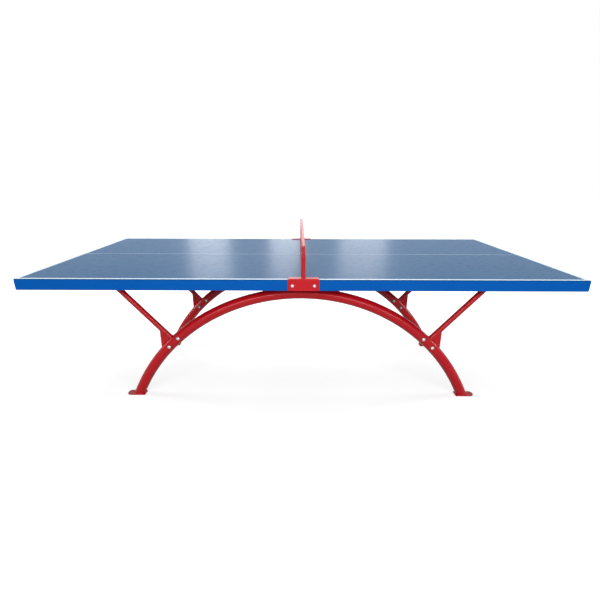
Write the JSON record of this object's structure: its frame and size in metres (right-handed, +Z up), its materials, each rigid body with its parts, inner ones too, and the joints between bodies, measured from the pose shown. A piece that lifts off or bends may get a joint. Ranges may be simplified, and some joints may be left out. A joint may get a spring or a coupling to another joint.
{
  "type": "ping pong table",
  "caption": "Outdoor table tennis table: blue top in two halves on red arched tube frames with slanting braces and anchored feet, with a lift-off red steel net.",
  "frame": {"origin": "on the floor under the middle of the table", "axes": "+X along the table's length, +Y across it away from the viewer of the picture, +Z up"},
  "size_m": [2.74, 1.5418, 0.9125],
  "materials": {
    "blue_deck": "satin",
    "blue_steel": "satin",
    "red_steel": "gloss",
    "zinc_steel": "satin"
  },
  "bodies": {
    "table": {"arch_bolts": "zinc_steel", "arch_nuts": "zinc_steel", "arch_saddle_washers": "zinc_steel", "bearer_bolts": "zinc_steel", "bearer_weld_nuts": "zinc_steel", "front_arch": "red_steel", "front_crown_flange": "red_steel", "front_crown_web": "red_steel", "front_left_brace": "red_steel", "front_left_brace_plate": "red_steel", "front_left_foot": "red_steel", "front_left_gusset": "red_steel", "front_net_bracket": "red_steel", "front_net_lock_screw": "zinc_steel", "front_net_socket": "red_steel", "front_right_brace": "red_steel", "front_right_brace_plate": "red_steel", "front_right_foot": "red_steel", "front_right_gusset": "red_steel", "left_deck": "blue_deck", "left_end_rail": "blue_steel", "left_front_rail": "blue_steel", "left_inner_bearer": "blue_steel", "left_middle_bearer": "blue_steel", "left_outer_bearer": "blue_steel", "left_rear_rail": "blue_steel", "left_seam_rail": "blue_steel", "net_bracket_bolts": "zinc_steel", "net_bracket_nuts": "zinc_steel", "rear_arch": "red_steel", "rear_crown_flange": "red_steel", "rear_crown_web": "red_steel", "rear_left_brace": "red_steel", "rear_left_brace_plate": "red_steel", "rear_left_foot": "red_steel", "rear_left_gusset": "red_steel", "rear_net_bracket": "red_steel", "rear_net_lock_screw": "zinc_steel", "rear_net_socket": "red_steel", "rear_right_brace": "red_steel", "rear_right_brace_plate": "red_steel", "rear_right_foot": "red_steel", "rear_right_gusset": "red_steel", "right_deck": "blue_deck", "right_end_rail": "blue_steel", "right_front_rail": "blue_steel", "right_inner_bearer": "blue_steel", "right_middle_bearer": "blue_steel", "right_outer_bearer": "blue_steel", "right_rear_rail": "blue_steel", "right_seam_rail": "blue_steel", "seam_bolts": "zinc_steel", "seam_nuts": "zinc_steel"},
    "net": {"net_hoop": "red_steel", "net_sheet": "red_steel", "net_rivets": "zinc_steel"}
  },
  "joints": [
    {"name": "net_lift", "type": "slide", "parent": "table", "child": "net", "axis": [0, 0, 1], "range_m": [0, 0.12]}
  ]
}
